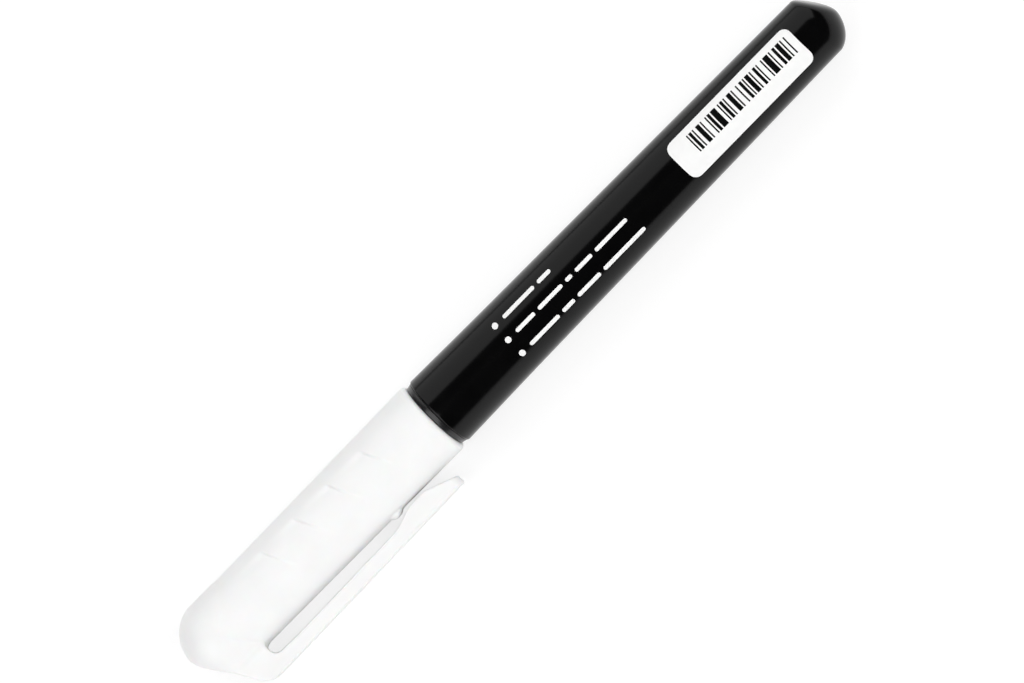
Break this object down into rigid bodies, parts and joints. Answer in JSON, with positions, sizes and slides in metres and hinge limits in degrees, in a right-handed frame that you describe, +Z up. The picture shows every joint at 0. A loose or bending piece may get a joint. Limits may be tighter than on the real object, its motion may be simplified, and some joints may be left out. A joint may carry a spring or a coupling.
{
  "type": "permanent marker",
  "caption": "Slim round marker with a black tapered barrel, white pull-off cap with sprung pocket clip, pressable valve nib and loose mixing ball.",
  "frame": {"origin": "centre of the marker's outline on the surface that it lies on", "axes": "+X along the marker's axis from cap to tail, +Z up; the clip points to -Y and leans on the surface"},
  "size_m": [0.139, 0.0176, 0.013],
  "materials": {
    "barrel_black": "glossy moulded polypropylene",
    "label_white": "coated paper label",
    "section_black": "polished moulded plastic",
    "cap_white": "satin white moulded polypropylene",
    "liner_plastic": "natural polyethylene",
    "nib_fibre": "bonded fibre",
    "felt": "felt",
    "seal_rubber": "soft seal rubber",
    "valve_plastic": "natural acetal",
    "spring_steel": "drawn stainless wire",
    "ball_steel": "polished stainless steel"
  },
  "bodies": {
    "pen": {"barrel": "barrel_black", "barrel_label": "label_white", "front_section": "section_black", "nib_holder": "section_black", "ink_felt": "felt", "valve_gasket": "seal_rubber", "valve_cage": "valve_plastic", "valve_spring": "spring_steel"},
    "nib_unit": {"nib": "nib_fibre", "valve_stem": "valve_plastic"},
    "ball": {"mixing_ball": "ball_steel"},
    "cap": {"cap": "cap_white", "inner_cap": "liner_plastic"},
    "clip": {"pocket_clip": "cap_white"}
  },
  "joints": [
    {"name": "cap_pull", "type": "slide", "parent": "pen", "child": "cap", "axis": [-1, 0, 0], "range_m": [0, 0.055]},
    {"name": "clip_flex", "type": "hinge", "parent": "cap", "child": "clip", "pos_m": [-0.05754, -0.00669, 0.0031], "axis": [0, 0.3554, -0.9347], "range_deg": [0, 4], "stiffness_Nm_per_rad": 1},
    {"name": "nib_press", "type": "slide", "parent": "pen", "child": "nib_unit", "axis": [1, 0, 0], "range_m": [0, 0.0018], "stiffness_N_per_m": 250, "springref_m": -0.002, "deforming": ["valve_spring"]},
    {"name": "ball_roll", "type": "slide", "parent": "pen", "child": "ball", "axis": [-1, 0, 0], "range_m": [0, 0.065]}
  ]
}
